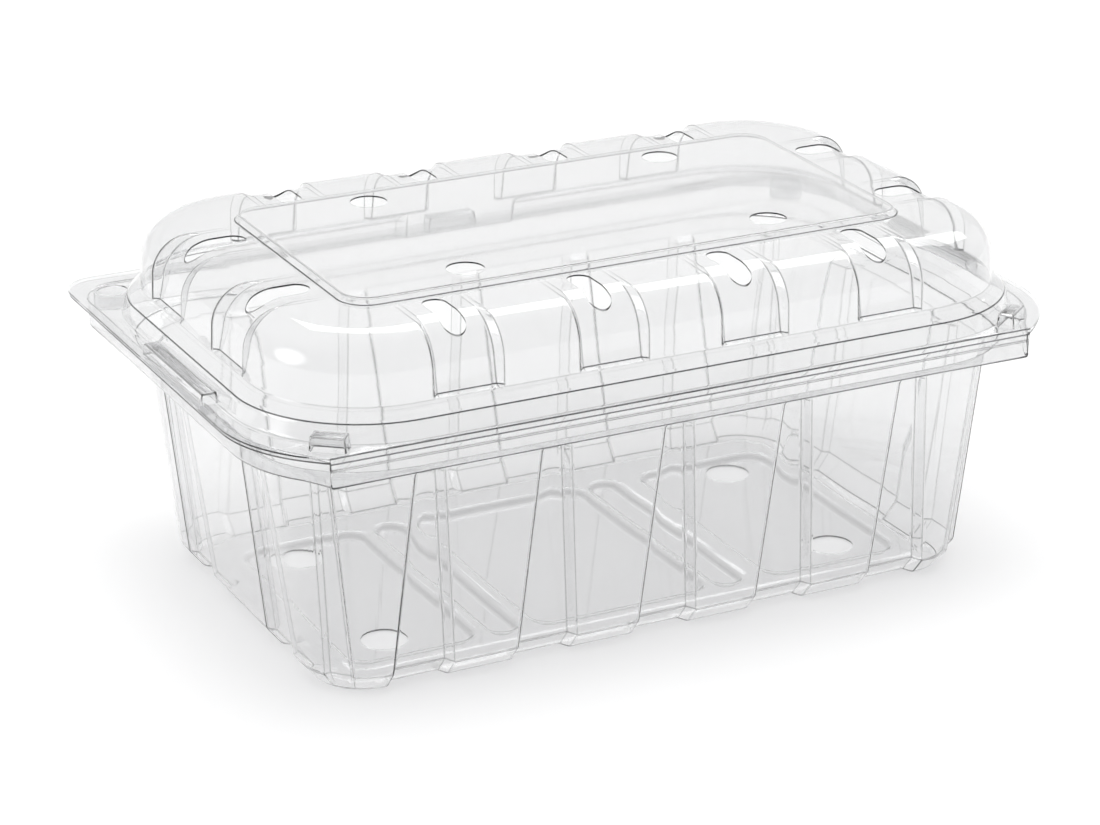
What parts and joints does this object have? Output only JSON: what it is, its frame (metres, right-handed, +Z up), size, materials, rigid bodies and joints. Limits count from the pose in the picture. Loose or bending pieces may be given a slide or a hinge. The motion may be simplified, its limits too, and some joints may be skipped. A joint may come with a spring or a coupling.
{
  "type": "hinged fruit container",
  "caption": "Clear clamshell container for fruit: tapered tub with ribbed walls and vent holes under a domed lid with vent slots, joined along one long side by a fold.",
  "frame": {"origin": "on the ground under the middle of the tub's floor, on the underside of its middle pad", "axes": "+X along the hinge, +Y from the hinge towards the snap side, +Z up"},
  "size_m": [0.1908, 0.1221, 0.0816],
  "materials": {
    "tub_sheet": "clear thermoformed sheet, glossy",
    "lid_sheet": "clear thermoformed sheet, glossy"
  },
  "bodies": {
    "tub": {"tub": "tub_sheet"},
    "lid": {"lid": "lid_sheet"}
  },
  "joints": [
    {"name": "lid_hinge", "type": "hinge", "parent": "tub", "child": "lid", "pos_m": [0, -0.0591, 0.0572], "axis": [1, 0, 0], "range_deg": [0, 180]}
  ]
}
